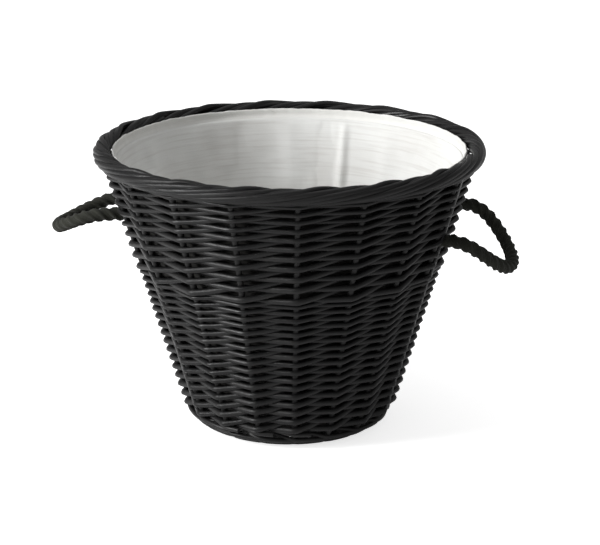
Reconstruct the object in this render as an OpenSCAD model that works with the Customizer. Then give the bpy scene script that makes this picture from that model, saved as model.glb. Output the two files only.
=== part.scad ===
// Round wicker log basket: woven base, two bands of woven wall on upright stakes, rolled border,
// sewn fabric liner and two swinging rope handles. The floor is z = 0 and the handles lie along X.

/* [Basket] */
// Outside diameter across the rolled border
rim_d = 510; // [510:5:520]
// Height from the floor to the top of the border
height = 380; // [370:5:380]
// How far the wall leans out for each millimetre of height
wall_lean = 0.3125; // [0.3:0.0125:0.3125]
// Thickness of the woven wall, over the outer and the inner rods
wall_t = 18; // [17:0.5:19]
// Thickness of the rolled border
border_d = 24; // [22:1:26]

/* [Foot and base] */
// Radius of the turn from the underside up into the wall
foot_turn = 44; // [42:1:46]
// Height of the upsett, the thick first rounds that hold the stakes upright
foot_h = 34; // [34:1:38]
// Inner radius of the upsett, where the base weave ends
base_r = 97; // [92:1:98]
// Radius of the open middle of the base, where the sticks cross
cross_r = 40; // [38:1:44]
// Thickness of the base weave
base_t = 12; // [11:0.5:13]

/* [Rods] */
// Diameter of a stake
stake_d = 8; // [7:0.5:8]
// Diameter of a base stick
stick_d = 9; // [8:0.5:9]
// Height at which the upper band of weave starts
band_z = 217; // [190:1:240]

/* [Liner] */
// Thickness of the liner's wall and floor
liner_t = 2; // [1.5:0.1:2.4]
// Height of the turned and sewn edge at the top of the liner
hem_h = 16; // [13:1:18]

/* [Rope handles] */
// Diameter of the handle rope
rope_d = 15.5; // [14:0.5:16]
// How far each handle reaches out from its two holes
handle_reach = 88; // [80:1:96]
// Angle between the handle's middle and each of its holes, seen from above
hole_angle = 16.5; // [15:0.5:18]
// Height of the right handle's front hole
right_front_z = 270; // [265:1:290]
// Height of the right handle's back hole
right_back_z = 284; // [265:1:290]
// Height of the left handle's front hole
left_front_z = 291; // [270:1:295]
// Height of the left handle's back hole
left_back_z = 280; // [270:1:295]
// How far the right handle droops below level
right_droop = 36; // [0:1:60]
// How far the left handle droops below level
left_droop = 18; // [0:1:60]

/* [Hidden] */
$fn = 48;
// Clearance between neighbouring pieces, and the clearance of a rod in its channel
gap = 0.3;
rod_gap = 0.2;

// Stakes stand an eighteenth of a turn apart, and every stake has one end of a base stick beside it
stake_count = 18;
stake_step = 360 / stake_count;
pierced_count = 4;
through_count = 5;

function two_digits(i) = str(i < 10 ? "0" : "", i);
function stake_name(i) = str("stake_", two_digits(i));
function pierced_name(i) = str("pierced_base_stick_", i);
function through_name(i) = str("through_base_stick_", i);
SIDES = ["right", "left"];
ENDS = ["front", "back"];

// The wall leans straight from the foot to the border, whose outer edge stands border_inset proud of it
lean_a = atan(wall_lean);
border_r = rim_d / 2 - border_d / 2;
border_z = height - border_d / 2;
border_inset = 6;
wall_w = wall_t / cos(lean_a);
wall_top = height - border_d - 1.5 * gap;
function outer_r(z) = rim_d / 2 - border_inset + wall_lean * (z - border_z);
function inner_r(z) = outer_r(z) - wall_w;

// A stake runs level in the base, turns up through the foot and follows the middle of the wall
stake_r = stake_d / 2;
stick_z = 10;
stake_tail_r = 80;
stake_turn = 32;
bend_lap = 1;
turn_a = 90 - lean_a;
turn_x = outer_r(stick_z) - wall_w / 2 - stake_turn * tan(turn_a / 2);
upright_x = turn_x + stake_turn * cos(lean_a);
upright_z = stick_z + stake_turn - stake_turn * sin(lean_a);
upright_l = (wall_top - stake_r * sin(lean_a) - gap - upright_z) / cos(lean_a);

// Base sticks cross in a square of slit and passing sticks, then fan out between the stakes
stick_r = stick_d / 2;
stick_pitch = stick_d + 0.6;
stick_fan_r = base_r - 2 * gap;
stick_turn = -2;
cross_half = 30;
stick_bend = 12;
slit_h = 5;
slit_half = through_count * stick_pitch / 2 + 1;
flat_half = pierced_count * stick_pitch / 2 + 1;
flat_h = slit_h - 2 * gap;

// Floor levels
upsett_top = 18;
liner_z = upsett_top + gap;
foot_steps = 8;

// Liner
liner_gap = 0.4;
liner_top = wall_top - gap;
hem_flare = 8;
hem_t = 1.2 * liner_t;
pocket_r = 16.5;
pocket_depth = 18;

// Rope handles
rope_r = rope_d / 2;
ball_r = rope_r + 0.3;
rope_bore_r = rope_r + 0.45;
hinge_out = 9.5;
stub_out = hinge_out - ball_r - 1.5 * gap;
knot_ring = 6.5;
knot_r = 6;

function unit(v) = v / norm(v);
function hinge_point(a, z) = [
    (outer_r(z) + hinge_out) * cos(a),
    (outer_r(z) + hinge_out) * sin(a),
    z];
function side_angle(side) = side == "right" ? 0 : 180;
function side_droop(side) = side == "right" ? right_droop : left_droop;
// A side's two holes in order of angle: front then back on the right, back then front on the left
function hole_heights(side) = side == "right" ? [right_front_z, right_back_z] : [left_back_z, left_front_z];
function hole_at(side, k) = side_angle(side) + (2 * k - 1) * hole_angle;
function hinge_at(side, k) = hinge_point(hole_at(side, k), hole_heights(side)[k]);
function end_index(side, end) = (side == "right") == (end == "front") ? 0 : 1;

// ---- Base ----

// Each end of a stick's straight middle turns a little and runs on as an arm, to angle a on the fan circle
function arm_reach(offset, a) = [stick_fan_r * cos(a) - cross_half, stick_fan_r * sin(a) - offset];
function arm_turn(offset, a) = let (reach = arm_reach(offset, a)) atan2(reach[1], reach[0]);
function bend_run(turn) = stick_bend * tan(abs(turn) / 2);

module stick_arms(offset, a, start, grow) {
    for (side = [0, 1]) mirror([side, 0, 0]) translate([cross_half, offset, 0])
        rotate([0, 90, arm_turn(offset, a)]) translate([0, 0, start])
            cylinder(h = norm(arm_reach(offset, a)) - start, r = stick_r + grow);
}

module stick_bends(offset, turn) {
    for (side = [0, 1]) mirror([side, 0, 0])
        translate([cross_half - bend_run(turn), offset + sign(turn) * stick_bend, 0])
            rotate([0, 0, turn > 0 ? -90 : 90 + turn]) rotate_extrude(angle = abs(turn))
                translate([stick_bend, 0]) circle(r = stick_r + rod_gap / 2);
}

// The bends are a little thicker than the stick, and its straight parts run a short way into them
module stick(offset, a) {
    turn = arm_turn(offset, a);
    half = cross_half - bend_run(turn) + bend_lap;
    translate([-half, offset, 0]) rotate([0, 90, 0]) cylinder(h = 2 * half, r = stick_r);
    if (turn != 0) stick_bends(offset, turn);
    stick_arms(offset, a, bend_run(turn) - bend_lap, 0);
}

function pierced_offset(i) = (i - (pierced_count + 1) / 2) * stick_pitch;
function pierced_angle(i) = (i - (pierced_count + 1) / 2) * stake_step;
function through_offset(i) = (i - (through_count + 1) / 2) * stick_pitch;
function through_angle(i) = (i - (through_count + 1) / 2) * stake_step;

// Turns a stick that lies along X to where the pierced sticks lie, or to where the through sticks lie
module pierced_way() {
    translate([0, 0, stick_z]) rotate([0, 0, stick_turn]) children();
}

module through_way() {
    translate([0, 0, stick_z]) rotate([0, 0, stick_turn + 90]) children();
}

module pierced_base_stick(i) {
    color([0.13, 0.12, 0.12]) pierced_way() difference() {
        stick(pierced_offset(i), pierced_angle(i));
        translate([0, pierced_offset(i), 0]) cube([2 * slit_half, stick_pitch, slit_h], center = true);
    }
}

module through_base_stick(i) {
    color([0.13, 0.12, 0.12]) through_way() difference() {
        stick(through_offset(i), through_angle(i));
        for (side = [-1, 1]) translate([0, through_offset(i), side * (flat_h + stick_d) / 2])
            cube([2 * flat_half, stick_pitch, stick_d], center = true);
    }
}

module base_weave() {
    color([0.12, 0.12, 0.12]) difference() {
        translate([0, 0, stick_z - base_t / 2]) cylinder(h = base_t, r = base_r - gap);
        translate([0, 0, stick_z - base_t]) cylinder(h = 2 * base_t, r = cross_r);
        for (i = [1 : pierced_count])
            pierced_way() stick_arms(pierced_offset(i), pierced_angle(i), 0, rod_gap);
        for (i = [1 : through_count])
            through_way() stick_arms(through_offset(i), through_angle(i), 0, rod_gap);
        for (i = [1 : stake_count]) stake_tail(i, rod_gap);
    }
}

// ---- Stakes ----

module stake_tail(i, grow = 0) {
    rotate([0, 0, (i - 1) * stake_step]) translate([stake_tail_r - grow, 0, stick_z]) rotate([0, 90, 0])
        cylinder(h = turn_x - stake_tail_r + bend_lap + grow, r = stake_r + grow);
}

module stake_bend(i, grow = 0) {
    rotate([0, 0, (i - 1) * stake_step]) translate([turn_x, 0, stick_z + stake_turn])
        rotate([90, 0, 0]) rotate([0, 0, -90]) rotate_extrude(angle = turn_a)
            translate([stake_turn, 0]) circle(r = stake_r + grow);
}

module stake_upright(i, grow = 0, more = 0) {
    rotate([0, 0, (i - 1) * stake_step]) translate([upright_x, 0, upright_z]) rotate([0, lean_a, 0])
        translate([0, 0, -bend_lap]) cylinder(h = upright_l + bend_lap + more, r = stake_r + grow);
}

// The bend is a little thicker than the rod, and the rod runs a short way into it at both ends
module stake(i) {
    color([0.11, 0.11, 0.11]) {
        stake_tail(i);
        stake_bend(i, rod_gap / 2);
        stake_upright(i);
    }
}

// ---- Woven wall ----

// Points of the round turn from the underside to the wall, from the floor upward
function foot_arc() = let (
    x = outer_r(0) - foot_turn * tan(turn_a / 2),
    step = turn_a / foot_steps)
    [for (k = [0 : foot_steps]) [x + foot_turn * sin(k * step), foot_turn - foot_turn * cos(k * step)]];

module upsett() {
    color([0.12, 0.12, 0.12]) difference() {
        rotate_extrude() polygon(concat(
            [[base_r, 0]],
            foot_arc(),
            [[outer_r(foot_h), foot_h], [inner_r(foot_h), foot_h]],
            [[inner_r(upsett_top), upsett_top], [base_r, upsett_top]]));
        for (i = [1 : stake_count]) {
            stake_tail(i, rod_gap);
            stake_bend(i, 1.5 * rod_gap);
            stake_upright(i, rod_gap);
        }
    }
}

module wall_band(z0, z1) {
    difference() {
        rotate_extrude() polygon([
            [inner_r(z0), z0], [outer_r(z0), z0],
            [outer_r(z1), z1], [inner_r(z1), z1]]);
        for (i = [1 : stake_count]) stake_upright(i, rod_gap, stake_d);
    }
}

module lower_randing() {
    color([0.14, 0.14, 0.14]) wall_band(foot_h + gap, band_z);
}

module upper_randing() {
    color([0.16, 0.16, 0.16]) difference() {
        wall_band(band_z + gap, wall_top);
        for (side = SIDES, k = [0, 1])
            rope_line(side, k, inner_r(height) - 3 * wall_t, outer_r(height), rope_bore_r);
    }
}

module border() {
    color([0.15, 0.15, 0.15]) translate([0, 0, border_z])
        rotate_extrude() translate([border_r, 0]) circle(r = border_d / 2);
}

// ---- Liner ----

module liner_cone(inset, z0, z1) {
    rotate_extrude() polygon([
        [0, z0], [inner_r(z0) - inset, z0],
        [inner_r(z1) - inset, z1], [0, z1]]);
}

module liner_floor() {
    color([0.85, 0.85, 0.82]) translate([0, 0, liner_z])
        cylinder(h = liner_t, r = inner_r(liner_z) - liner_gap - liner_t);
}

module liner_wall() {
    z0 = liner_z + liner_t + gap;
    color([0.88, 0.88, 0.85]) difference() {
        intersection() {
            union() {
                difference() {
                    liner_cone(liner_gap, z0, liner_top);
                    liner_cone(liner_gap + liner_t, z0 - 1, liner_top + 1);
                }
                for (side = SIDES, k = [0, 1]) pocket(side, k, pocket_depth, pocket_r);
            }
            liner_cone(liner_gap, z0, liner_top);
        }
        for (side = SIDES, k = [0, 1]) pocket(side, k, pocket_depth - liner_t, pocket_r - liner_t);
    }
}

module pocket(side, k, depth, r) {
    z = hole_heights(side)[k];
    rope_line(side, k, inner_r(z) - depth, outer_r(z), r);
}

// The turned edge flares from the liner's wall out to the inside of the border
module liner_hem() {
    foot_r = inner_r(liner_top) - liner_gap;
    top_r = border_r - border_d / 2 - liner_gap;
    color([0.82, 0.79, 0.7]) translate([0, 0, liner_top + gap]) rotate_extrude() polygon([
        [foot_r - hem_t, 0], [foot_r, 0],
        [top_r, hem_flare], [top_r, hem_h],
        [top_r - hem_t, hem_h], [top_r - hem_t, hem_flare]]);
}

// ---- Rope handles ----

// A round bar along the line of one rope hole, level, from radius r0 to radius r1
module rope_line(side, k, r0, r1, r) {
    rotate([0, 0, hole_at(side, k)]) translate([r0, 0, hole_heights(side)[k]]) rotate([0, 90, 0])
        cylinder(h = r1 - r0, r = r);
}

// The loop of rope, lying in its own plane: X outward from the hinge line, Y along it
module loop(half_span) {
    straight = handle_reach - half_span;
    for (side = [-1, 1]) translate([0, side * half_span, 0]) {
        sphere(r = ball_r);
        rotate([0, 90, 0]) cylinder(h = straight, r = rope_r);
    }
    translate([straight, 0, 0]) rotate([0, 0, -90]) rotate_extrude(angle = 180)
        translate([half_span, 0]) circle(r = rope_r);
}

module handle_rope(side) {
    p = hinge_at(side, 0);
    q = hinge_at(side, 1);
    along = unit(q - p);
    level = unit(cross(along, [0, 0, 1]));
    out = cos(side_droop(side)) * level - sin(side_droop(side)) * cross(level, along);
    up = cross(out, along);
    mid = (p + q) / 2;
    color([0.1, 0.1, 0.09]) multmatrix([
        [out[0], along[0], up[0], mid[0]],
        [out[1], along[1], up[1], mid[1]],
        [out[2], along[2], up[2], mid[2]]]) loop(norm(q - p) / 2);
}

module knotted_end(side, k) {
    z = hole_heights(side)[k];
    knot_x = inner_r(z - knot_ring) - knot_r / cos(lean_a) - 3 * gap;
    color([0.1, 0.1, 0.09]) {
        rope_line(side, k, knot_x, outer_r(z) + stub_out, rope_r);
        rotate([0, 0, hole_at(side, k)]) translate([knot_x, 0, z]) rotate([0, 90, 0])
            rotate_extrude() translate([knot_ring, 0]) circle(r = knot_r);
    }
}

for (i = [1 : pierced_count]) pierced_base_stick(i);
for (i = [1 : through_count]) through_base_stick(i);
base_weave();
upsett();
for (i = [1 : stake_count]) stake(i);
lower_randing();
upper_randing();
border();
liner_floor();
liner_wall();
liner_hem();
for (s = SIDES) handle_rope(s);
for (s = SIDES, e = ENDS)
    knotted_end(s, end_index(s, e));
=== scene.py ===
"""A black wicker log basket: woven rods on upright stakes, a sewn cotton liner and laid rope handles."""
import math

import bmesh
import bpy
from bpy.props import FloatProperty, FloatVectorProperty, IntProperty, PointerProperty
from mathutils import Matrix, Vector, noise


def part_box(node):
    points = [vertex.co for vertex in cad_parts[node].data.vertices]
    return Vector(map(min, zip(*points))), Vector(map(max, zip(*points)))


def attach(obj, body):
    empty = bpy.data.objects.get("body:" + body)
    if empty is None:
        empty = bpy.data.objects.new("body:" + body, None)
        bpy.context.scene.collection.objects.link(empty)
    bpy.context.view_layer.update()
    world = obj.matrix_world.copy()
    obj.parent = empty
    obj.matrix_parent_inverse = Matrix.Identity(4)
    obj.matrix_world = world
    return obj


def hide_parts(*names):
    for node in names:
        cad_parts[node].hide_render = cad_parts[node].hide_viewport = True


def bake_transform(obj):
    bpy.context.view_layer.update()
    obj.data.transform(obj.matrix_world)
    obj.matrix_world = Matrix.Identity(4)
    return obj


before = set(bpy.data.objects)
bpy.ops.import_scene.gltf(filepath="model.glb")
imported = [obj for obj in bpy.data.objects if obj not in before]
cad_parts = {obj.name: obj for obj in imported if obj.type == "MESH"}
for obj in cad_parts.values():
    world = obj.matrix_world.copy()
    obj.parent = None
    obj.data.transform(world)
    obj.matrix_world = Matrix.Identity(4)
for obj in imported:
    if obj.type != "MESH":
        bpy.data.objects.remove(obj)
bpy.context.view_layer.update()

bl_info = {
    "name": "Wicker Log Basket",
    "version": (1, 0, 0),
    "blender": (4, 5, 0),
    "location": "View3D > Sidebar > Basket",
    "description": "Weaves a round log basket with a cotton liner and two rope handles",
    "category": "Object",
}

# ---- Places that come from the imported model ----

LOWER_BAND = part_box("lower_randing")
UPPER_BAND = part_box("upper_randing")
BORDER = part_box("border")
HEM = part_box("liner_hem")
FLOOR_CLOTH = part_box("liner_floor")
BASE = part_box("base_weave")
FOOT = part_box("upsett")

# The wall's outer face leans outward in a straight line from the foot to the border
LEAN = (UPPER_BAND[1].x - LOWER_BAND[1].x) / (UPPER_BAND[1].z - LOWER_BAND[1].z)
WALL_DEPTH = 0.01886
BORDER_TUBE = (BORDER[1].z - BORDER[0].z) / 2
BORDER_R = BORDER[1].x - BORDER_TUBE
BORDER_Z = (BORDER[1].z + BORDER[0].z) / 2
HOLE_ANGLE = math.radians(16.5)
HINGE_OUT = 0.0095
KNOT_IN = 0.0092
FOOT_TURN = 0.044
SIDES = {"right": (0.0, "front", "back"), "left": (math.pi, "back", "front")}


def outer_r(z):
    """Radius of the wall's outer face at height z."""
    return UPPER_BAND[1].x + LEAN * (z - UPPER_BAND[1].z)


def middle_r(z):
    """Radius of the line that the stakes follow."""
    return outer_r(z) - WALL_DEPTH / 2


def inner_r(z):
    """Radius of the wall's inner face."""
    return outer_r(z) - WALL_DEPTH


def around(angle, radius, z):
    """The place at that angle round the basket's axis, at that radius and height."""
    return radius * math.cos(angle), radius * math.sin(angle), z


def rope_holes():
    """The four holes that the handles pass through, as (side, end, angle, height)."""
    holes = []
    for side, (middle, *ends) in SIDES.items():
        for turn, end in zip((-1, 1), ends):
            low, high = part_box(f"knotted_end_{side}_{end}")
            holes.append((side, end, middle + turn * HOLE_ANGLE, (low.z + high.z) / 2))
    return holes


# ---- What a user would change ----


def length(name, description, value):
    """A size in metres."""
    return FloatProperty(name=name, description=description, default=value, min=0, precision=4, unit="LENGTH")


def colour(name, description, value):
    """A colour, as linear red, green and blue."""
    return FloatVectorProperty(name=name, description=description, default=value, subtype="COLOR", min=0, max=1)


class BasketWeave(bpy.types.PropertyGroup):
    """Rods and rounds of the woven parts."""

    stakes: IntProperty(name="Stakes", description="Uprights in the wall", default=18, min=8)
    stake_rod: length("Stake", "Thickness of a stake", 0.008)
    lower_butt: length("Lower butt", "Thickness of a lower weaving rod at its thick end", 0.0084)
    lower_tip: length("Lower tip", "Thickness of a lower weaving rod at its tip", 0.0058)
    lower_travel: IntProperty(name="Lower travel", description="Stakes that a lower rod passes", default=34)
    upper_butt: length("Upper butt", "Thickness of an upper weaving rod at its thick end", 0.0084)
    upper_tip: length("Upper tip", "Thickness of an upper weaving rod at its tip", 0.0056)
    upper_travel: IntProperty(name="Upper travel", description="Stakes that an upper rod passes", default=22)
    foot_rod: length("Foot rod", "Thickness of the rods that turn the foot", 0.0062)
    foot_rounds: FloatProperty(name="Foot rounds", description="Rounds of three-rod wale", default=2.7)
    base_rod: length("Base rod", "Thickness of the rods that weave the base", 0.0040)
    base_rounds: FloatProperty(name="Base rounds", description="Rounds of pairing in the base", default=7.4)
    border_rods: IntProperty(name="Border rods", description="Rods rolled over the border", default=36)
    border_rod: length("Border rod", "Thickness of a border rod where it leaves the wall", 0.0090)
    border_reach: FloatProperty(
        name="Border reach", description="How far round the rim one border rod runs",
        default=math.radians(60), subtype="ANGLE")


class BasketCloth(bpy.types.PropertyGroup):
    """The sewn liner."""

    thickness: length("Cloth", "Thickness of the liner cloth", 0.0011)
    fold: length("Fold", "Depth of the soft upright folds", 0.0062)
    billow: length("Billow", "How far the cloth stands in and out between the stakes", 0.0034)
    stitch: length("Stitch", "Length of one stitch", 0.0034)
    stitch_pitch: length("Stitch pitch", "Distance from stitch to stitch", 0.0048)


class BasketRope(bpy.types.PropertyGroup):
    """The laid rope of the handles."""

    thickness: length("Rope", "Thickness of the rope over its strands", 0.0180)
    lay: length("Lay", "Length in which a strand goes once round the rope", 0.040)
    cut: length("Cut", "Length of rope in one handle, from knot to knot", 0.330)


class BasketColours(bpy.types.PropertyGroup):
    """Finishes."""

    willow: colour("Willow", "Black stained willow", (0.0075, 0.0075, 0.0078))
    willow_worn: colour("Worn willow", "Willow where the stain is thin", (0.021, 0.020, 0.0195))
    cloth: colour("Liner", "Undyed cotton", (0.71, 0.715, 0.70))
    # Partly the cotton's own slubs and partly painted shade: the same colour darkens large cloudy patches of the
    # liner in place of the shade of its folds, and the gaps between its threads
    cloth_slubs_and_painted_shade: colour("Liner shade", "Slubs and soft marks in the cotton", (0.50, 0.48, 0.455))
    # Painted shade: the liner's outer side is coloured near black for the shadow behind the woven wall, which shows
    # through the gaps between the rods
    painted_outer_shade: colour("Liner backing", "Dark backing on the liner's outer side", (0.035, 0.034, 0.032))
    hem: colour("Hem", "Turned edge", (0.71, 0.705, 0.68))
    rope: colour("Rope", "Black rope with an olive cast", (0.0125, 0.0130, 0.0095))
    rope_dust: colour("Rope fibre", "Paler loose fibre on the rope", (0.036, 0.037, 0.028))


# ---- Node trees ----


class Num:
    """A number on a socket of a node tree, which takes part in arithmetic."""

    def __init__(self, tree, socket):
        self.tree = tree
        self.socket = socket

    def __add__(self, other):
        return self.tree.math("ADD", self, other)

    def __sub__(self, other):
        return self.tree.math("SUBTRACT", self, other)

    def __rsub__(self, other):
        return self.tree.math("SUBTRACT", other, self)

    def __mul__(self, other):
        return self.tree.math("MULTIPLY", self, other)

    def __truediv__(self, other):
        return self.tree.math("DIVIDE", self, other)

    def __rtruediv__(self, other):
        return self.tree.math("DIVIDE", other, self)

    __radd__ = __add__
    __rmul__ = __mul__


class Tree:
    """A Geometry Nodes tree that is being built, with named inputs."""

    def __init__(self, name, **inputs):
        self.group = bpy.data.node_groups.new(name, "GeometryNodeTree")
        self.values = {}
        for label, value in inputs.items():
            kind = {int: "NodeSocketInt", float: "NodeSocketFloat"}.get(type(value), "NodeSocketMaterial")
            socket = self.group.interface.new_socket(label, in_out="INPUT", socket_type=kind)
            self.values[socket.identifier] = value
        self.group.interface.new_socket("Geometry", in_out="OUTPUT", socket_type="NodeSocketGeometry")
        self.entry = self.group.nodes.new("NodeGroupInput")

    def __getitem__(self, label):
        return Num(self, self.entry.outputs[label])

    def node(self, kind, links, **settings):
        """Adds a node, sets it up, and feeds its inputs from numbers, sockets and plain values."""
        made = self.group.nodes.new(kind)
        for key, value in settings.items():
            setattr(made, key, value)
        for key, value in links.items():
            socket = made.inputs[key]
            if isinstance(value, Num):
                value = value.socket
            if isinstance(value, bpy.types.NodeSocket):
                self.group.links.new(value, socket)
            else:
                socket.default_value = value
        return made

    def math(self, operation, a, b=0.0, c=0.0):
        links = {0: a, 1: b, 2: c} if operation in ("SMOOTH_MIN", "WRAP") else {0: a, 1: b}
        return Num(self, self.node("ShaderNodeMath", links, operation=operation).outputs[0])

    def cos(self, a):
        return self.math("COSINE", a)

    def vector(self, x, y, z):
        return self.node("ShaderNodeCombineXYZ", {0: x, 1: y, 2: z}).outputs[0]

    def around(self, angle, radius, z):
        """The place at that angle round the basket's axis, at that radius and height."""
        return self.vector(self.cos(angle) * radius, self.math("SINE", angle) * radius, z)

    def random(self, low, high, index, seed):
        """A number between low and high, the same for everything with the same index."""
        made = self.node("FunctionNodeRandomValue", {"ID": index, "Seed": seed}, data_type="FLOAT")
        for socket in made.inputs:
            if socket.enabled and socket.name in ("Min", "Max"):
                socket.default_value = low if socket.name == "Min" else high
        return Num(self, next(s for s in made.outputs if s.enabled))

    def wander(self, x, y, scale):
        """Smooth noise from -1 to 1 along x, different for each y."""
        place = self.vector(x, y, 0.0)
        made = self.node("ShaderNodeTexNoise", {"Vector": place, "Scale": scale, "Detail": 1.0})
        return (Num(self, made.outputs[0]) - 0.5) * 3.0

    def rods(self, count, points):
        """That many curves of that many points, with each point's place in its rod and the rod's number."""
        line = self.node("GeometryNodeCurvePrimitiveLine", {}).outputs[0]
        fine = self.node("GeometryNodeResampleCurve", {"Curve": line, "Count": points})
        copies = self.node("GeometryNodeDuplicateElements",
                           {"Geometry": fine.outputs[0], "Amount": count}, domain="SPLINE")
        step = self.node("GeometryNodeSplineParameter", {}).outputs["Index"]
        return copies.outputs[0], Num(self, step), Num(self, copies.outputs["Duplicate Index"])

    def store(self, geometry, name, value):
        return self.node("GeometryNodeStoreNamedAttribute",
                         {"Geometry": geometry, "Name": name, "Value": value}, data_type="FLOAT").outputs[0]

    def round_bar(self, curves, position, radius, rod, along, sides, material):
        """Lays the curves along position as round bars, with the facts that the finish reads."""
        laid = self.node("GeometryNodeSetPosition", {"Geometry": curves, "Position": position}).outputs[0]
        laid = self.store(laid, "rod", rod)
        laid = self.store(laid, "along", along)
        sized = self.node("GeometryNodeSetCurveRadius", {"Curve": laid, "Radius": 1.0}).outputs[0]
        ring = self.node("GeometryNodeCurvePrimitiveCircle", {"Resolution": sides, "Radius": 1.0}).outputs[0]
        turn = self.node("GeometryNodeSplineParameter", {}).outputs["Factor"]
        ring = self.store(ring, "around", turn)
        bar = self.node("GeometryNodeCurveToMesh",
                        {"Curve": sized, "Profile Curve": ring, "Scale": radius, "Fill Caps": True}).outputs[0]
        smooth = self.node("GeometryNodeSetShadeSmooth", {"Geometry": bar}).outputs[0]
        self.close(smooth, material)

    def close(self, geometry, material):
        """The end of every tree: real geometry with its material."""
        real = self.node("GeometryNodeRealizeInstances", {"Geometry": geometry}).outputs[0]
        dressed = self.node("GeometryNodeSetMaterial", {"Geometry": real, "Material": material}).outputs[0]
        self.node("NodeGroupOutput", {"Geometry": dressed})

    def grow(self, name):
        """Runs the tree once and keeps what it makes as a plain mesh object of that name."""
        maker = bpy.data.objects.new(name + "_maker", bpy.data.meshes.new(name + "_maker"))
        bpy.context.scene.collection.objects.link(maker)
        modifier = maker.modifiers.new("Maker", "NODES")
        modifier.node_group = self.group
        for identifier, value in self.values.items():
            modifier[identifier] = value
        bpy.context.view_layer.update()
        ready = maker.evaluated_get(bpy.context.evaluated_depsgraph_get())
        mesh = bpy.data.meshes.new_from_object(ready)
        maker.modifiers.remove(modifier)
        bpy.data.objects.remove(maker)
        if not mesh.polygons:
            raise RuntimeError(f"the tree for {name} made nothing")
        return add_piece(name, mesh)


def add_piece(name, mesh):
    piece = bpy.data.objects.new(name, mesh)
    bpy.context.scene.collection.objects.link(piece)
    return piece


# ---- Finishes ----


class Finish:
    """A material under construction."""

    def __init__(self, name):
        self.material = bpy.data.materials.new(name)
        self.material.use_nodes = True
        self.tree = self.material.node_tree
        self.shader = self.tree.nodes["Principled BSDF"]

    def node(self, kind, links=None, **settings):
        made = self.tree.nodes.new(kind)
        for key, value in settings.items():
            setattr(made, key, value)
        for key, value in (links or {}).items():
            if isinstance(value, bpy.types.NodeSocket):
                self.tree.links.new(value, made.inputs[key])
            else:
                made.inputs[key].default_value = value
        return made

    def attribute(self, name):
        return self.node("ShaderNodeAttribute", attribute_name=name).outputs["Fac"]

    def place(self, x, y, z):
        return self.node("ShaderNodeCombineXYZ", {0: x, 1: y, 2: z}).outputs[0]

    def stretched(self, vector, scale):
        return self.node("ShaderNodeMapping", {"Vector": vector, "Scale": scale}).outputs[0]

    def noise(self, vector, scale=1.0, detail=3.0, rough=0.55):
        links = {"Vector": vector, "Scale": scale, "Detail": detail, "Roughness": rough}
        return self.node("ShaderNodeTexNoise", links).outputs["Fac"]

    def ramp(self, value, low, high, to_low=0.0, to_high=1.0):
        """Takes value from low..high to to_low..to_high and holds it there."""
        links = {0: value, 1: low, 2: high, 3: to_low, 4: to_high}
        return self.node("ShaderNodeMapRange", links).outputs[0]

    def math(self, operation, a, b=0.0):
        return self.node("ShaderNodeMath", {0: a, 1: b}, operation=operation).outputs[0]

    def mix(self, share, a, b):
        made = self.node("ShaderNodeMix", data_type="RGBA")
        for key, value in (("Factor_Float", share), ("A_Color", a), ("B_Color", b)):
            socket = next(s for s in made.inputs if s.identifier == key)
            if isinstance(value, bpy.types.NodeSocket):
                self.tree.links.new(value, socket)
            else:
                socket.default_value = value if isinstance(value, float) else (*value, 1.0)
        return next(s for s in made.outputs if s.identifier == "Result_Color")

    def bump(self, height, distance, strength=1.0, under=None):
        links = {"Height": height, "Distance": distance, "Strength": strength}
        if under is not None:
            links["Normal"] = under
        return self.node("ShaderNodeBump", links).outputs[0]

    def finish(self, **inputs):
        for key, value in inputs.items():
            socket = self.shader.inputs[key.replace("_", " ")]
            if isinstance(value, bpy.types.NodeSocket):
                self.tree.links.new(value, socket)
            else:
                socket.default_value = value
        return self.material


def willow_finish(name, colours, coordinates, tone=1.0):
    """Satin black willow. coordinates gives a Finish its vector along the grain and its rod number."""
    made = Finish(name)
    grain, rod = coordinates(made)
    fibre = made.noise(grain, 1.0, 4.0, 0.6)
    patch = made.noise(made.stretched(grain, (0.12, 0.3, 1.0)), 1.0, 2.0)
    luck = made.node("ShaderNodeTexWhiteNoise", {"W": rod}, noise_dimensions="1D").outputs["Value"]
    worn = made.math("ADD", made.ramp(fibre, 0.45, 0.85, 0.0, 0.5), made.ramp(patch, 0.5, 0.8, 0.0, 0.4))
    worn = made.math("ADD", worn, made.ramp(luck, 0.0, 1.0, -0.12, 0.34))
    worn = made.ramp(worn, 0.0, 1.0)
    dark = [c * tone for c in colours.willow]
    pale = [c * tone for c in colours.willow_worn]
    rough = made.ramp(made.math("ADD", fibre, luck), 0.6, 1.4, 0.27, 0.41)
    return made.finish(
        Base_Color=made.mix(worn, dark, pale), Roughness=rough, Specular_IOR_Level=0.21,
        Normal=made.bump(fibre, 0.0004, 0.45))


def along_the_rod(made):
    """Grain that runs along a woven rod."""
    rod = made.attribute("rod")
    turn = made.math("MULTIPLY", made.attribute("around"), math.tau)
    shift = made.math("MULTIPLY", rod, 7.3)
    reach = made.math("MULTIPLY", made.attribute("along"), 60.0)
    x = made.math("MULTIPLY", made.math("SINE", turn), 3.2)
    y = made.math("ADD", made.math("MULTIPLY", made.math("COSINE", turn), 3.2), shift)
    return made.place(reach, x, y), rod


def up_the_stake(made):
    """Grain that runs up a standing stake."""
    where = made.node("ShaderNodeTexCoord").outputs["Object"]
    spread = made.stretched(where, (900.0, 900.0, 60.0))
    rod = made.noise(where, 14.0, 0.0)
    return spread, made.math("MULTIPLY", rod, 9.0)


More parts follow.
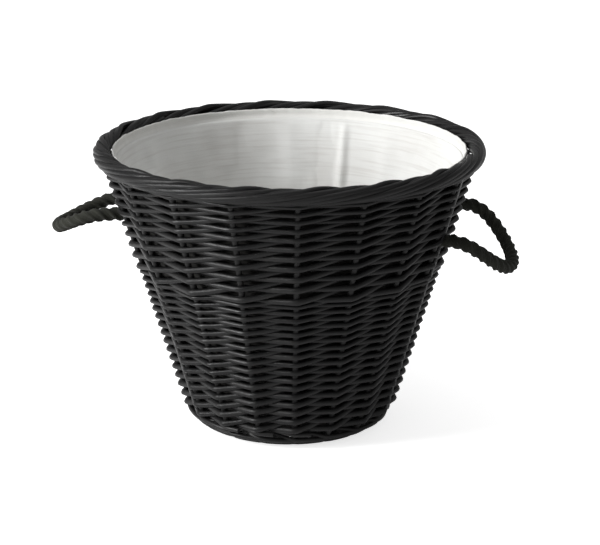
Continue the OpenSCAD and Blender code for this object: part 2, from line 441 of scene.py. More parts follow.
def cloth_finish(name, base, shade):
    """Plain woven cotton with slubs, on the piece's own flat pattern in metres."""
    made = Finish(name)
    flat = made.node("ShaderNodeUVMap", uv_map="pattern").outputs[0]
    threads = {"Vector": flat, "Scale": 360.0, "Distortion": 0.6}
    warp, weft = (made.node("ShaderNodeTexWave", threads, bands_direction=way).outputs["Fac"] for way in "XY")
    weave = made.math("MULTIPLY", warp, weft)
    slub = made.noise(made.stretched(flat, (9.0, 260.0, 1.0)), 1.0, 3.0, 0.6)
    cloud = made.noise(flat, 7.0, 3.0, 0.5)
    # Slub streaks are the cotton's own. The large cloudy patches are painted shade for the soft shade of folds, and
    # the small share where the threads part is painted shade in the weave's hollows
    share = made.math("ADD", made.ramp(slub, 0.48, 0.75, 0.0, 0.45), made.ramp(cloud, 0.42, 0.75, 0.0, 0.45))
    share = made.math("ADD", share, made.ramp(weave, 0.0, 0.5, 0.08, 0.0))
    woven = made.bump(weave, 0.0002, 0.4)
    return made.finish(
        Base_Color=made.mix(share, base, shade), Roughness=0.92, Specular_IOR_Level=0.15,
        Sheen_Weight=0.12, Sheen_Roughness=0.5, Normal=made.bump(slub, 0.0008, 0.5, woven))


def rope_finish(name, colours):
    """Matt fibre that runs along the strands of the rope."""
    made = Finish(name)
    strand = made.place(
        made.math("MULTIPLY", made.attribute("along"), 90.0),
        made.math("MULTIPLY", made.attribute("around"), 24.0),
        made.math("MULTIPLY", made.attribute("rod"), 5.1))
    fibre = made.noise(strand, 1.0, 5.0, 0.7)
    dust = made.noise(made.node("ShaderNodeTexCoord").outputs["Object"], 55.0, 3.0)
    worn = made.math("ADD", made.ramp(fibre, 0.48, 0.8, 0.0, 0.6), made.ramp(dust, 0.5, 0.75, 0.0, 0.45))
    return made.finish(
        Base_Color=made.mix(made.ramp(worn, 0.0, 1.0), colours.rope, colours.rope_dust), Roughness=0.85,
        Specular_IOR_Level=0.2, Sheen_Weight=0.08, Normal=made.bump(fibre, 0.0007, 0.8))


def finish_named(name, make):
    """The material of that name, made once."""
    return bpy.data.materials.get(name) or make()


def woven_willow(scene):
    return finish_named("black_willow_rods", lambda: willow_finish(
        "black_willow_rods", scene.basket_colours, along_the_rod))


def wear(piece, body, slot, *nodes):
    """Rides the piece on its body and takes the place of its CAD nodes. slot, the name of its finish, is not used.
    """
    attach(piece, body)
    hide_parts(*nodes)


# ---- Woven wall ----


def hole_push(tree, travel, rod, height_at, facts):
    """How far a rod is pushed up or down to leave room for the ropes that pass through the wall."""
    total = 0.0
    for *_, angle, height in rope_holes():
        first = angle / facts["step"]
        gap = tree.math("WRAP", travel + rod - first, facts["stakes"] / 2, -facts["stakes"] / 2)
        beside = gap * (facts["step"] * middle_r(height))
        above = height_at(travel - gap) - height
        room = tree.math("SQRT", above * above + facts["rope_room"] ** 2) - tree.math("ABSOLUTE", above)
        fade = tree.math("EXPONENT", beside * beside * (-0.6 / facts["rope_room"] ** 2))
        total = tree.math("SIGN", above) * room * fade + total
    return total


def randing(scene, name, z0, z1, butt, tip, travel, taper, seed):
    """One band of French randing: a rod starts beside each stake, and all climb together."""
    weave = scene.basket_weave
    stakes = weave.stakes
    step = math.tau / stakes
    fine = 12
    tree = Tree(
        name + "_tree", Rods=stakes, Points=travel * fine + 1, Butt=butt / 2, Tip=tip / 2,
        Bottom=z0, Top=z1, Travel=float(travel), Material=woven_willow(scene))
    curves, index, rod = tree.rods(tree["Rods"], tree["Points"])
    # Each rod starts and ends just behind a stake
    travelled = index / fine - 1.0
    share = (travelled + 1.0) / tree["Travel"]
    thick = tree["Butt"] + (tree["Tip"] - tree["Butt"]) * share
    climb = tree["Top"] - tree["Bottom"] - tree["Butt"] - tree["Tip"]
    lucky = tree.random(-1.0, 1.0, rod, seed)

    def height_at(place):
        """Height of a rod that has passed so many stakes. It rises from the front of one to the back of the next."""
        pair = tree.math("FLOOR", place / 2.0)
        inside = place - pair * 2.0
        rise = tree.math("MINIMUM", inside, 1.0)
        rest = tree.math("MAXIMUM", inside - 1.0, 0.0)
        eased = rise * rise * (3.0 - rise * 2.0)
        steep, level = 1.74, 0.26
        stepped = pair * 2.0 + (rise * 0.6 + eased * 0.4) * steep + rest * level
        part = (stepped + 1.0) / tree["Travel"]
        return tree["Bottom"] + tree["Butt"] + climb * (part * (1.0 - taper) + part * part * taper)

    facts = {"stakes": float(stakes), "step": step, "rope_room": 0.0095}
    z = height_at(travelled)
    z = z + tree.wander(travelled, rod * 3.1, 0.45) * 0.00055 + lucky * 0.0003
    z = z + hole_push(tree, travelled, rod, height_at, facts)
    # The rods kink where they bear on a stake and run straight between
    wave = 0.0
    for kink in (1, 3, 5, 7):
        wave = tree.cos(travelled * (kink * math.pi)) * (0.85 / kink ** 2) + wave
    beside = (travelled - tree.math("FLOOR", travelled) - 0.5) * step
    flat = math.cos(step / 2) / tree.cos(beside)
    bedded = 0.0018
    reach = (weave.stake_rod / 2 + thick * 0.92 - bedded) * wave
    short = tree.math("MAXIMUM", FOOT_TURN * 0.7 - z, 0.0)
    drawn = short * short * (0.6 / FOOT_TURN)
    radius = (z * LEAN + middle_r(0.0) - drawn) * flat + reach + tree.wander(travelled, rod * 5.7, 0.8) * 0.0004
    angle = (travelled + rod) * step
    place = tree.around(angle, radius, z)
    size = thick * (1.0 + tree.wander(travelled, rod * 9.1, 0.35) * 0.05 + lucky * 0.05)
    along = travelled * (step * middle_r((z0 + z1) / 2))
    tree.round_bar(curves, place, size, rod + seed * 40.0, along, 8, tree["Material"])
    return tree.grow(name)


class OBJECT_OT_basket_randing(bpy.types.Operator):
    """Weave the two bands of the wall"""

    bl_idname = "basket.randing"
    bl_label = "Woven wall"

    def execute(self, context):
        weave = context.scene.basket_weave
        lower = randing(context.scene, "woven_wall_lower", FOOT[1].z - 0.014, LOWER_BAND[1].z + 0.0060,
                        weave.lower_butt, weave.lower_tip, weave.lower_travel, -0.17, 1)
        wear(lower, "basket", "willow", "lower_randing")
        upper = randing(context.scene, "woven_wall_upper", UPPER_BAND[0].z - 0.0065, UPPER_BAND[1].z + 0.006,
                        weave.upper_butt, weave.upper_tip, weave.upper_travel, -0.254, 2)
        wear(upper, "basket", "willow", "upper_randing")
        return {"FINISHED"}


# ---- Foot and base ----


class OBJECT_OT_basket_foot(bpy.types.Operator):
    """Weave the foot: three rods that pass two stakes and go behind one, round the turn of the base"""

    bl_idname = "basket.foot"
    bl_label = "Foot"

    def execute(self, context):
        weave = context.scene.basket_weave
        stakes = weave.stakes
        step = math.tau / stakes
        fine = 7
        travel = weave.foot_rounds * stakes
        rod_r = weave.foot_rod / 2
        turn_r = FOOT_TURN
        turn = math.pi / 2 - math.atan(LEAN)
        corner_x = outer_r(0.0) - turn_r * math.tan(turn / 2)
        tree = Tree(
            "foot_tree", Rods=3, Points=int(travel * fine), Radius=rod_r, Corner=corner_x, Turn=turn_r,
            Travel=travel, Material=woven_willow(context.scene))
        curves, index, rod = tree.rods(tree["Rods"], tree["Points"])
        passed = index / fine
        front = tree.cos((passed - 0.5) * (math.tau / 3)) * (4 / 3) + 1 / 3
        front = tree.math("SMOOTH_MIN", front, 1.05, 0.5)
        sink = tree.cos(passed * (math.tau / 3)) * (rod_r * 0.75)
        # The rods climb round the turn, from its lowest point up to the wall
        first, last = 0.09, 1.02
        arc = (passed / tree["Travel"]) * (last - first) + first + sink / turn_r
        depth = tree["Turn"] - WALL_DEPTH / 2 + front * (weave.stake_rod / 2 + rod_r * 0.7)
        depth = tree.math("MINIMUM", depth, turn_r - rod_r - 0.0002)
        radius = tree.math("SINE", arc) * depth + tree["Corner"]
        z = tree["Turn"] - tree.cos(arc) * depth
        angle = (passed + rod) * step
        size = tree["Radius"] * (1.0 + tree.wander(passed, rod * 4.0, 0.3) * 0.06)
        place = tree.around(angle, radius, z)
        along = passed * (step * middle_r(0.0))
        tree.round_bar(curves, place, size, rod + 150.0, along, 9, tree["Material"])
        wear(tree.grow("woven_foot"), "basket", "willow", "upsett")
        return {"FINISHED"}


class OBJECT_OT_basket_base(bpy.types.Operator):
    """Weave the base: two rods that twist round the fanned sticks in a spiral"""

    bl_idname = "basket.base"
    bl_label = "Base"

    def execute(self, context):
        weave = context.scene.basket_weave
        step = math.tau / weave.stakes
        fine = 7
        rod_r = weave.base_rod / 2
        passes = weave.base_rounds * weave.stakes
        inner = 0.040 + rod_r
        outer = BASE[1].x - rod_r
        middle = (BASE[0].z + BASE[1].z) / 2
        tree = Tree(
            "base_tree", Rods=2, Points=int(passes * fine), Radius=rod_r, Inner=inner, Outer=outer,
            Travel=passes, Middle=middle, Material=woven_willow(context.scene))
        curves, index, rod = tree.rods(tree["Rods"], tree["Points"])
        passed = index / fine
        # Six degrees past the stakes, which is two short of where the sticks fan out
        angle = (passed + rod) * step + math.radians(6)
        radius = tree["Inner"] + (tree["Outer"] - tree["Inner"]) * (passed / tree["Travel"])
        radius = radius + tree.math("SINE", passed * math.pi) * (rod_r * 0.6)
        z = tree["Middle"] + tree.cos(passed * math.pi) * 0.0060
        place = tree.around(angle, radius, z)
        along = passed * (step * (inner + outer) / 2)
        tree.round_bar(curves, place, tree["Radius"], rod + 170.0, along, 7, tree["Material"])
        wear(tree.grow("woven_base"), "basket", "willow", "base_weave")
        return {"FINISHED"}


# ---- Border ----


class OBJECT_OT_basket_border(bpy.types.Operator):
    """Roll the border: pairs of stake ends that climb out of the wall, over the top and down inside"""

    bl_idname = "basket.border"
    bl_label = "Rolled border"

    def execute(self, context):
        weave = context.scene.basket_weave
        step = math.tau / weave.stakes
        fine = 44
        rod_r = weave.border_rod / 2
        tree = Tree(
            "border_tree", Rods=weave.border_rods, Points=fine + 1, Radius=rod_r, Rim=BORDER_R,
            Height=BORDER_Z, Reach=weave.border_reach, Material=woven_willow(context.scene))
        curves, index, rod = tree.rods(tree["Rods"], tree["Points"])
        share = index / float(fine)
        pair = tree.math("FLOOR", rod / 2.0)
        second = rod - pair * 2.0
        lucky = tree.random(-1.0, 1.0, rod, 5)
        angle = (pair + second * 0.42 + lucky * 0.03) * step + share * tree["Reach"]
        # Where the rod lies on the border's round section: slowly from below to the top, then quickly down inside
        low, crown, high, slow = math.radians(-100), math.radians(62), math.radians(205), 0.70
        rise = tree.math("MINIMUM", share / slow, 1.0)
        fall = tree.math("MAXIMUM", (share - slow) / (1.0 - slow), 0.0)
        roll = rise * (crown - low) + fall * (high - crown) + low + lucky * 0.05
        thick = tree["Radius"] * (1.0 - share * 0.26 + lucky * 0.06)
        crest = tree.math("EXPONENT", (roll - math.pi / 2) * (roll - math.pi / 2) * -1.6)
        laid = BORDER_TUBE - thick - 0.0003 + crest * (0.0010 - second * 0.0016) - second * 0.0004
        radius = tree["Rim"] + tree.cos(roll) * laid
        z = tree["Height"] + tree.math("SINE", roll) * laid
        place = tree.around(angle, radius, z)
        along = share * (weave.border_reach * BORDER_R)
        tree.round_bar(curves, place, thick, rod + 200.0, along, 10, tree["Material"])
        wear(tree.grow("rolled_border"), "basket", "willow", "border")
        self.core(context)
        return {"FINISHED"}

    def core(self, context):
        """Rods that run round inside the roll and fill it."""
        rods, fine, ring, turns = 5, 150, 0.0060, 9
        tree = Tree("border_core_tree", Rods=rods, Points=fine + 1, Rim=BORDER_R, Height=BORDER_Z,
                    Radius=0.0040, Material=woven_willow(context.scene))
        curves, index, rod = tree.rods(tree["Rods"], tree["Points"])
        share = index / float(fine)
        angle = (share * 1.02 + rod / rods) * math.tau
        roll = share * (turns * math.tau) + rod * (math.tau / rods)
        radius = tree["Rim"] + tree.cos(roll) * ring
        z = tree["Height"] + tree.math("SINE", roll) * ring
        place = tree.around(angle, radius, z)
        tree.round_bar(curves, place, tree["Radius"], rod + 250.0, share * (math.tau * BORDER_R), 7,
                       tree["Material"])
        piece = tree.grow("border_core")
        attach(piece, "basket")


# ---- Sticks and stakes ----


class OBJECT_OT_basket_stakes(bpy.types.Operator):
    """Give the stakes and the base sticks their willow bark"""

    bl_idname = "basket.stakes"
    bl_label = "Stakes and sticks"

    def execute(self, context):
        bark = willow_finish("black_willow_stakes", context.scene.basket_colours, up_the_stake)
        base = willow_finish("black_willow_sticks", context.scene.basket_colours, up_the_stake, 0.9)
        for name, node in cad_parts.items():
            if "stake_" in name or "base_stick" in name:
                node.data.materials.clear()
                node.data.materials.append(base if "base_stick" in name else bark)
        return {"FINISHED"}


# ---- Liner ----


def grid_mesh(name, rows, columns, point, pattern):
    """A sheet of rows by columns that closes on itself.

    point(row, column) gives a place and pattern(row, column) its flat pattern.
    """
    made = bmesh.new()
    grid = [[made.verts.new(point(r, c)) for c in range(columns)] for r in range(rows)]
    layer = made.loops.layers.uv.new("pattern")
    for r in range(rows - 1):
        for c in range(columns):
            corners = [(r, c), (r, c + 1), (r + 1, c + 1), (r + 1, c)]
            face = made.faces.new([grid[a][b % columns] for a, b in corners])
            face.smooth = True
            for loop, corner in zip(face.loops, corners):
                loop[layer].uv = pattern(*corner)
    mesh = bpy.data.meshes.new(name)
    made.to_mesh(mesh)
    made.free()
    return mesh


def thicken(piece, thickness, offset, lining=0):
    """Gives a sheet its thickness and applies it. lining is how many slots on the inner side's material is."""
    solid = piece.modifiers.new("Thickness", "SOLIDIFY")
    solid.thickness = thickness
    solid.offset = offset
    solid.material_offset = lining
    solid.material_offset_rim = lining
    ready = piece.evaluated_get(bpy.context.evaluated_depsgraph_get())
    mesh = bpy.data.meshes.new_from_object(ready)
    piece.modifiers.remove(solid)
    piece.data = mesh


def smooth_step(value):
    value = min(max(value, 0.0), 1.0)
    return value * value * (3 - 2 * value)


# Where the cloth is gathered into soft upright folds: angle, width in radians and depth as a share
FOLDS = (
    (math.radians(134), 0.10, 0.7), (math.radians(116), 0.06, -0.5), (math.radians(98), 0.09, 0.5),
    (math.radians(84), 0.05, -1.4), (math.radians(77), 0.035, 1.5), (math.radians(58), 0.08, 0.8),
    (math.radians(42), 0.07, -0.7), (math.radians(28), 0.06, 0.7), (math.radians(158), 0.09, 0.7),
    (math.radians(214), 0.06, 0.6), (math.radians(250), 0.07, -0.6), (math.radians(292), 0.08, 0.7),
    (math.radians(330), 0.06, -0.5),
)


def liner_sag(cloth, holes, angle, z):
    """How far the cloth stands in from the wall."""
    top = HEM[0].z
    share = (z - FLOOR_CLOTH[1].z) / (top - FLOOR_CLOTH[1].z)
    loose = math.sin(math.pi * min(max(share, 0.0), 1.0)) ** 0.5
    inward = 0.0
    for middle, width, depth in FOLDS:
        lean = middle + 0.05 * (share - 1.0)
        away = (angle - lean + math.pi) % math.tau - math.pi
        spread = width * (1.5 - 0.8 * share)
        inward += cloth.fold * depth * math.exp(-(away / spread) ** 2) * (0.35 + 0.65 * share ** 0.5) * loose
    place = Vector(around(angle, 1.0, z * 6.0)) * 2.2
    inward += cloth.billow * noise.noise(place) * 1.4 * loose
    inward += cloth.billow * 0.75 * noise.noise(place * 2.6) * loose
    ripple = Vector(around(angle, 7.0, z * 190.0))
    inward += 0.0007 * noise.noise(ripple) * loose
    inward = max(inward, -0.0006)
    # It stands clear of the knots, whatever its folds do there
    for *_, middle, height in holes:
        away = (angle - middle + math.pi) % math.tau - math.pi
        gap = math.hypot(away * inner_r(height), z - height)
        inward += (0.0175 - inward) * smooth_step(1.0 - (gap - 0.0145) / 0.026)
    return inward


class OBJECT_OT_basket_liner(bpy.types.Operator):
    """Sew the liner: wall, floor, turned edge and stitches"""

    bl_idname = "basket.liner"
    bl_label = "Liner"

    def execute(self, context):
        colours = context.scene.basket_colours
        cloth = context.scene.basket_cloth
        cotton = cloth_finish("liner_cotton", colours.cloth, colours.cloth_slubs_and_painted_shade)
        turned = cloth_finish("hem_cotton", colours.hem, colours.cloth)
        hem = self.hem(cloth, turned)
        stitches = self.stitches(cloth, turned)
        wall = self.wall(cloth, cotton, colours.painted_outer_shade)
        floor = self.floor(cloth, cotton)
        wear(hem, "basket", "hem_cloth", "liner_hem")
        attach(stitches, "basket")
        wear(wall, "basket", "liner_cloth", "liner_wall")
        wear(floor, "basket", "liner_cloth", "liner_floor")
        low, high = FLOOR_CLOTH[1].z, HEM[0].z
        slant = math.hypot(high - low, inner_r(high) - inner_r(low))
        area = math.pi * (inner_r(high) + inner_r(low)) * slant
        round(math.tau * inner_r(high), 2)
        return {"FINISHED"}

    def wall(self, cloth, material, painted_outer_shade):
        columns, rows = 540, 96
        holes = rope_holes()
        low, high = FLOOR_CLOTH[1].z + 0.0004, HEM[0].z + 0.004

        def point(row, column):
            z = low + (high - low) * row / (rows - 1)
            angle = math.tau * column / columns
            r = inner_r(z) - 0.0030 - liner_sag(cloth, holes, angle, z)
            r -= 0.0045 * smooth_step(1.0 - (z - low) / 0.035)
            return around(angle, r, z)

        def pattern(row, column):
            return math.tau * inner_r(high) * column / columns, (high - low) * row / (rows - 1)

        piece = add_piece("liner_side", grid_mesh("liner_side", rows, columns, point, pattern))
        # The sheet's outer side takes the near-black cotton as painted shade, for the shadow that fills the gaps
        # between the rods; the other side takes the cotton
        piece.data.materials.append(cloth_finish("liner_painted_outer_shade", painted_outer_shade, painted_outer_shade))
        piece.data.materials.append(material)
        thicken(piece, cloth.thickness, 0.0, 1)
        return piece

    def floor(self, cloth, material):
        columns, rows = 180, 40
        top = FLOOR_CLOTH[1].z
        edge = FLOOR_CLOTH[1].x - 0.0006

        def point(row, column):
            share = (row + 0.02) / (rows - 0.98)
            angle = math.tau * column / columns
            r = edge * share
            place = Vector((r * math.cos(angle) * 30, r * math.sin(angle) * 30, 1.7))
            lift = 0.0007 * noise.noise(place) * (1 - share ** 6)
            return around(angle, r, top - 0.0008 + lift)

        def pattern(row, column):
            x, y, z = point(row, column % columns)
            return x + 1.0, y + 1.0

        piece = add_piece("liner_bottom", grid_mesh("liner_bottom", rows, columns, point, pattern))
        made = bmesh.new()
        made.from_mesh(piece.data)
        rim = [e for e in made.edges if e.is_boundary and e.verts[0].co.xy.length < 0.01]
        bmesh.ops.contextual_create(made, geom=rim)
        made.to_mesh(piece.data)
        made.free()
        piece.data.materials.append(material)
        thicken(piece, cloth.thickness, -1.0)
        return piece

    def hem(self, cloth, material):
        """A doubled strip that stands inside the border and is folded over at the top."""
        low, high = HEM[0].z, HEM[1].z
        outer = HEM[1].x
        thick = 0.0024
        columns = 540
        foot = inner_r(low) - 0.0004

        def face(z):
            """The hem's outer side flares from the wall's inner face to the inside of the border."""
            return foot + (outer - foot) * min((z - low) / 0.008, 1.0)

        side = [low + 0.0004 + (high - low - 0.0016) * k / 8 for k in range(9)]
        fine = [(face(z) - thick, z) for z in side]
        fine += [(outer - thick * share, high - drop) for share, drop in ((0.8, 0.0003), (0.5, 0.0), (0.2, 0.0003))]
        fine += [(face(z), z) for z in side[::-1]]

        def point(row, column):
            r, z = fine[row % len(fine)]
            angle = math.tau * column / columns
            place = Vector(around(angle, 1.0, 0.0))
            rise = 0.0011 * noise.noise(place * 9.0) + 0.0006 * noise.noise(place * 31.0)
            share = (z - low) / (high - low)
            dent = 0.0004 * noise.noise(Vector((place.x * 26, place.y * 26, z * 60)))
            r = r - abs(noise.noise(place * 5.0)) * 0.0016 * share - dent - 0.0004
            return around(angle, r, z + rise * share)

        def pattern(row, column):
            return math.tau * outer * column / columns, 0.005 * row

        mesh = grid_mesh("liner_turned_edge", len(fine) + 1, columns, point, pattern)
        made = bmesh.new()
        made.from_mesh(mesh)
        bmesh.ops.remove_doubles(made, verts=made.verts, dist=1e-6)
        bmesh.ops.recalc_face_normals(made, faces=made.faces)
        made.to_mesh(mesh)
        made.free()
        piece = add_piece("liner_turned_edge", mesh)
        piece.data.materials.append(material)
        return piece

    def stitches(self, cloth, material):
        """Two rows of lock stitch round the turned edge."""
        radius = HEM[1].x - 0.0030
        count = int(math.tau * radius / cloth.stitch_pitch)
        tree = Tree("stitch_tree", Count=count, Rows=2, Radius=radius, Low=HEM[0].z + 0.0088,
                    Apart=0.0036, Length=cloth.stitch, Thread=0.00042, Material=material)
        dots = tree.node("GeometryNodeMeshLine", {"Count": tree["Count"] * tree["Rows"]}).outputs[0]
        index = Num(tree, tree.node("GeometryNodeInputIndex", {}).outputs[0])
        row = tree.math("FLOOR", index / tree["Count"])
        angle = index * (math.tau / count) + row * 0.5 * (math.tau / count)
        place = tree.around(angle, tree["Radius"], tree["Low"] + row * tree["Apart"])
        laid = tree.node("GeometryNodeSetPosition", {"Geometry": dots, "Position": place}).outputs[0]
        bead = tree.node("GeometryNodeMeshUVSphere", {"Segments": 5, "Rings": 4, "Radius": 1.0}).outputs[0]
        size = tree.vector(tree["Thread"], tree["Length"] / 2.0, tree["Thread"])
        bead = tree.node("GeometryNodeTransform", {"Geometry": bead, "Scale": size}).outputs[0]
        turn = tree.node("FunctionNodeEulerToRotation", {"Euler": tree.vector(0.0, 0.0, angle)}).outputs[0]
        sewn = tree.node("GeometryNodeInstanceOnPoints",
                         {"Points": laid, "Instance": bead, "Rotation": turn}).outputs[0]
        tree.close(sewn, tree["Material"])
        return tree.grow("liner_stitches")


# ---- Rope handles ----

# One half of a handle's route beyond its hinge: shares of its reach, of its half span and of its droop
LEG_ROUTE = ((0.20, 1.045, 0.05), (0.42, 1.03, 0.22), (0.64, 0.90, 0.50), (0.84, 0.65, 0.79), (0.96, 0.34, 0.96))
REACH = 0.088
# The knots are wound from a thinner cord than the rope, to fit between the wall and the liner
KNOT_CORD, KNOT_LAY = 0.0062, 0.016
DROOP = {"right": math.radians(36), "left": math.radians(18)}


def smooth_line(points, pitch):
    """A smooth line through the points, as evenly spaced places."""
    ends = [points[0] * 2 - points[1]] + list(points) + [points[-1] * 2 - points[-2]]
    dense = []
    for a, b, c, d in zip(ends, ends[1:], ends[2:], ends[3:]):
        for k in range(24):
            t = k / 24
            dense.append(0.5 * (2 * b + (c - a) * t + (2 * a - 5 * b + 4 * c - d) * t * t
                                + (3 * b - a - 3 * c + d) * t * t * t))
    dense.append(points[-1])
    places = [0.0]
    for a, b in zip(dense, dense[1:]):
        places.append(places[-1] + (b - a).length)
    count = int(round(places[-1] / pitch))
    line = []
    k = 0
    for n in range(count + 1):
        aim = places[-1] * n / count
        while k < len(places) - 2 and places[k + 1] < aim:
            k += 1
        share = (aim - places[k]) / (places[k + 1] - places[k])
        line.append(dense[k].lerp(dense[k + 1], share))
    return line


def handle_route(side, holes):
    """The middle of a handle's rope, from one knot out through the wall, round the loop and back in."""
    ends = [(angle, height) for which, end, angle, height in holes if which == side]
    radial = [Vector(around(angle, 1.0, 0.0)) for angle, height in ends]
    hinge = [ray * (outer_r(height) + HINGE_OUT) + Vector((0, 0, height))
             for ray, (angle, height) in zip(radial, ends)]
    along = (hinge[1] - hinge[0]).normalized()
    half = (hinge[1] - hinge[0]).length / 2
    level = along.cross(Vector((0, 0, 1))).normalized()
    down = level.cross(along)
    if down.z > 0:
        down = -down
    middle = (hinge[0] + hinge[1]) / 2
    reach = REACH * math.cos(DROOP[side])
    droop = REACH * math.sin(DROOP[side])
    legs = []
    for sign in (-1, 1):
        legs.append([middle + level * (reach * out) + along * (sign * half * wide) + down * (droop * fall)
                     for out, wide, fall in LEG_ROUTE])
    insides = []
    for ray, (angle, height) in zip(radial, ends):
        inside = [inner_r(height) - KNOT_IN, middle_r(height), outer_r(height)]
        insides.append([ray * r + Vector((0, 0, height)) for r in inside])
    tip = middle + level * reach + down * droop
    return insides[0] + [hinge[0]] + legs[0] + [tip] + legs[1][::-1] + [hinge[1]] + insides[1][::-1]


def laid_tube(name, line, thickness, lay, closed=False, strands=3, sides=48):
    """A rope along the line: strands that turn round each other, each of them twisted from yarns."""
    frames = []
    ray = None
    for k, place in enumerate(line):
        after = line[(k + 1) % len(line)] if closed or k + 1 < len(line) else place
        before = line[k - 1] if closed or k > 0 else place
        ahead = (after - before).normalized()
        if ray is None:
            ray = ahead.orthogonal()
        ray = (ray - ahead * ray.dot(ahead)).normalized()
        frames.append((place, ray, ahead.cross(ray)))
    run = sum((b - a).length for a, b in zip(line, line[1:]))
    pitch = run / (len(line) - 1)
    turns = run / lay
    if closed:
        last = frames[0][1]
        drift = math.atan2(last.dot(frames[-1][2]), last.dot(frames[-1][1]))
        turns = round(turns * strands) / strands
    strand_r = thickness / 2 / (1 + 1 / math.sin(math.pi / strands))
    centre = strand_r / math.sin(math.pi / strands)
    made = bmesh.new()
    facts = {key: made.verts.layers.float.new(key) for key in ("along", "around", "rod")}
    rings = []
    for k, (place, across, up) in enumerate(frames):
        twist = math.tau * turns * k / len(frames)
        if closed:
            twist += drift * k / len(frames)
        ring = []
        for s in range(sides):
            angle = math.tau * s / sides
            lobe = (angle * strands / math.tau) % 1.0 - 0.5
            off = lobe * math.tau / strands
            edge = centre * math.cos(off) + math.sqrt(max(strand_r ** 2 - (centre * math.sin(off)) ** 2, 0))
            edge = max(edge, thickness * 0.40)
            yarn = math.cos(5 * (math.tau * lobe) - math.tau * k * pitch * 2.2 / lay)
            edge += 0.018 * thickness * yarn * (1 - abs(2 * lobe) ** 4)
            edge += 0.02 * thickness * noise.noise(place * 260 + Vector((s * 0.35, 0, 0)))
            vert = made.verts.new(place + (across * math.cos(angle + twist) + up * math.sin(angle + twist)) * edge)
            vert[facts["along"]] = k * pitch
            vert[facts["around"]] = lobe
            vert[facts["rod"]] = math.floor(angle * strands / math.tau)
            ring.append(vert)
        rings.append(ring)
    pairs = list(zip(rings, rings[1:])) + ([(rings[-1], rings[0])] if closed else [])
    for low, high in pairs:
        for s in range(sides):
            n = (s + 1) % sides
            made.faces.new((low[s], low[n], high[n], high[s])).smooth = True
    if not closed:
        made.faces.new(rings[0][::-1])
        made.faces.new(rings[-1])
    bmesh.ops.recalc_face_normals(made, faces=made.faces)
    mesh = bpy.data.meshes.new(name)
    made.to_mesh(mesh)
    made.free()
    return add_piece(name, mesh)


def knot_line(angle, height, count):
    """A closed line that winds over and under itself, for the knot that stops the rope inside the wall."""
    ray = Vector(around(angle, 1.0, 0.0))
    side = Vector((-math.sin(angle), math.cos(angle), 0))
    middle = ray * (inner_r(height) - KNOT_IN) + Vector((0, 0, height))
    line = []
    for k in range(count):
        t = math.tau * k / count
        out = 0.0060 + 0.0024 * math.cos(3 * t)
        line.append(middle + side * (out * math.cos(2 * t)) + Vector((0, 0, out * math.sin(2 * t)))
                    + ray * (0.0024 * math.sin(3 * t)))
    return line


class OBJECT_OT_basket_handles(bpy.types.Operator):
    """Lay the two rope handles and tie their knots"""

    bl_idname = "basket.handles"
    bl_label = "Rope handles"

    def execute(self, context):
        rope = context.scene.basket_rope
        fibre = rope_finish("black_rope", context.scene.basket_colours)
        holes = rope_holes()
        for side in SIDES:
            line = smooth_line(handle_route(side, holes), 0.0011)
            piece = laid_tube(f"rope_{side}", line, rope.thickness, rope.lay)
            piece.data.materials.append(fibre)
            for which, end, angle, height in holes:
                if which == side:
                    knot = laid_tube(f"knot_{side}_{end}", knot_line(angle, height, 110), KNOT_CORD, KNOT_LAY,
                                     True, sides=18)
                    knot.data.materials.append(fibre)
                    wear(knot, "basket", "rope", f"knotted_end_{side}_{end}")
            hinge_x = self.hinge_x(side)
            facing = 1 if side == "right" else -1
            facing * (hinge_x - 0.012)
            facing * (hinge_x + 0.008)
            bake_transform(piece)
            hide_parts(f"handle_rope_{side}")
            first = next(h for h in holes if h[0] == side)
            leave = Vector((math.cos(first[2]), math.sin(first[2]), 0)) * outer_r(first[3])
        return {"FINISHED"}

    def hinge_x(self, side):
        heights = [h[3] for h in rope_holes() if h[0] == side]
        return (outer_r(sum(heights) / 2) + HINGE_OUT) * math.cos(HOLE_ANGLE)


# ---- Stage ----


def area_light(name, place, size, power):
    """A white panel of light, turned to the middle of the basket."""
    light = bpy.data.lights.new(name, "AREA")
    light.shape = "RECTANGLE"
    light.size, light.size_y = size
    light.energy = power
    made = bpy.data.objects.new(name, light)
    bpy.context.scene.collection.objects.link(made)
    made.location = place
    made.rotation_euler = (Vector((0, 0, 0.2)) - Vector(place)).to_track_quat("-Z", "Y").to_euler()


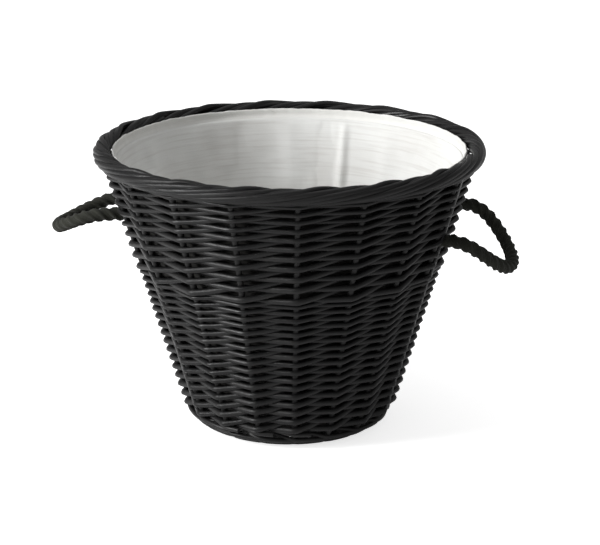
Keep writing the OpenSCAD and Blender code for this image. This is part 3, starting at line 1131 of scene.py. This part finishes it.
class OBJECT_OT_basket_stage(bpy.types.Operator):
    """Set up the camera, the lights and the floor"""

    bl_idname = "basket.stage"
    bl_label = "Stage"

    def execute(self, context):
        scene = context.scene
        scene.view_settings.view_transform = "Standard"
        self.camera(scene)
        self.floor()
        self.lights(scene)
        return {"FINISHED"}

    def camera(self, scene):
        data = bpy.data.cameras.new("camera")
        data.sensor_width = 36.0
        data.lens = 123.4
        camera = bpy.data.objects.new("camera", data)
        scene.collection.objects.link(camera)
        turn = math.radians(7.5)
        away, height, pitch, pan = 2.6, 0.9964, math.radians(17.02), math.radians(0.30)
        camera.location = (away * math.sin(turn), -away * math.cos(turn), height)
        camera.rotation_euler = (math.pi / 2 - pitch, 0, turn - pan)
        scene.camera = camera

    def floor(self):
        mesh = bpy.data.meshes.new("floor")
        half = 14.0
        mesh.from_pydata([(-half, -half, 0), (half, -half, 0), (half, half, 0), (-half, half, 0)], [],
                         [(0, 1, 2, 3)])
        floor = add_piece("floor", mesh)
        pale = Finish("pale_floor")
        self.seen_white(pale.tree, pale.shader.inputs["Emission Strength"], 0.08, 0.74)
        floor.data.materials.append(pale.finish(
            Base_Color=(0.86, 0.86, 0.86, 1.0), Roughness=0.9, Specular_IOR_Level=0.1,
            Emission_Color=(1.0, 1.0, 1.0, 1.0)))

    def lights(self, scene):
        area_light("key", (-3.0, -1.6, 1.75), (0.9, 2.6), 200)
        area_light("top", (0.2, 0.5, 3.2), (2.4, 2.4), 18)
        area_light("fill", (2.4, -2.6, 1.4), (1.6, 1.6), 3)
        world = bpy.data.worlds.new("white_room")
        world.use_nodes = True
        scene.world = world
        tree = world.node_tree
        # The camera sees a white room, which sends only a little light onto the basket
        self.seen_white(tree, tree.nodes["Background"].inputs["Strength"], 0.28, 1.05)
        tree.nodes["Background"].inputs["Color"].default_value = (1.0, 1.0, 1.0, 1.0)

    def seen_white(self, tree, strength, sent, seen):
        """Feeds a glow that the camera sees at one level and that lights the basket at a lower one."""
        ray = tree.nodes.new("ShaderNodeLightPath").outputs["Is Camera Ray"]
        level = tree.nodes.new("ShaderNodeMapRange")
        level.inputs["To Min"].default_value = sent
        level.inputs["To Max"].default_value = seen
        tree.links.new(ray, level.inputs["Value"])
        tree.links.new(level.outputs[0], strength)


# ---- Panel and running order ----

STEPS = ("stage", "handles", "stakes", "base", "foot", "randing", "border", "liner")


class VIEW3D_PT_basket(bpy.types.Panel):
    """The basket's sizes and steps"""

    bl_label = "Wicker log basket"
    bl_space_type = "VIEW_3D"
    bl_region_type = "UI"
    bl_category = "Basket"

    def draw(self, context):
        layout = self.layout
        for title, group in (("Weave", context.scene.basket_weave), ("Liner", context.scene.basket_cloth),
                             ("Rope", context.scene.basket_rope), ("Finishes", context.scene.basket_colours)):
            box = layout.box()
            box.label(text=title)
            for key in group.bl_rna.properties.keys():
                if key not in ("rna_type", "name"):
                    box.prop(group, key)
        for step in STEPS:
            layout.operator("basket." + step)


CLASSES = (
    BasketWeave, BasketCloth, BasketRope, BasketColours,
    OBJECT_OT_basket_stage, OBJECT_OT_basket_handles, OBJECT_OT_basket_stakes, OBJECT_OT_basket_base,
    OBJECT_OT_basket_foot, OBJECT_OT_basket_randing, OBJECT_OT_basket_border, OBJECT_OT_basket_liner,
    VIEW3D_PT_basket,
)
GROUPS = {"basket_weave": BasketWeave, "basket_cloth": BasketCloth, "basket_rope": BasketRope,
          "basket_colours": BasketColours}


def register():
    for each in CLASSES:
        bpy.utils.register_class(each)
    for name, group in GROUPS.items():
        setattr(bpy.types.Scene, name, PointerProperty(type=group))


def unregister():
    for name in GROUPS:
        delattr(bpy.types.Scene, name)
    for each in reversed(CLASSES):
        bpy.utils.unregister_class(each)


def main():
    register()
    for step in STEPS:
        getattr(bpy.ops.basket, step)()


if __name__ == "__main__":
    main()
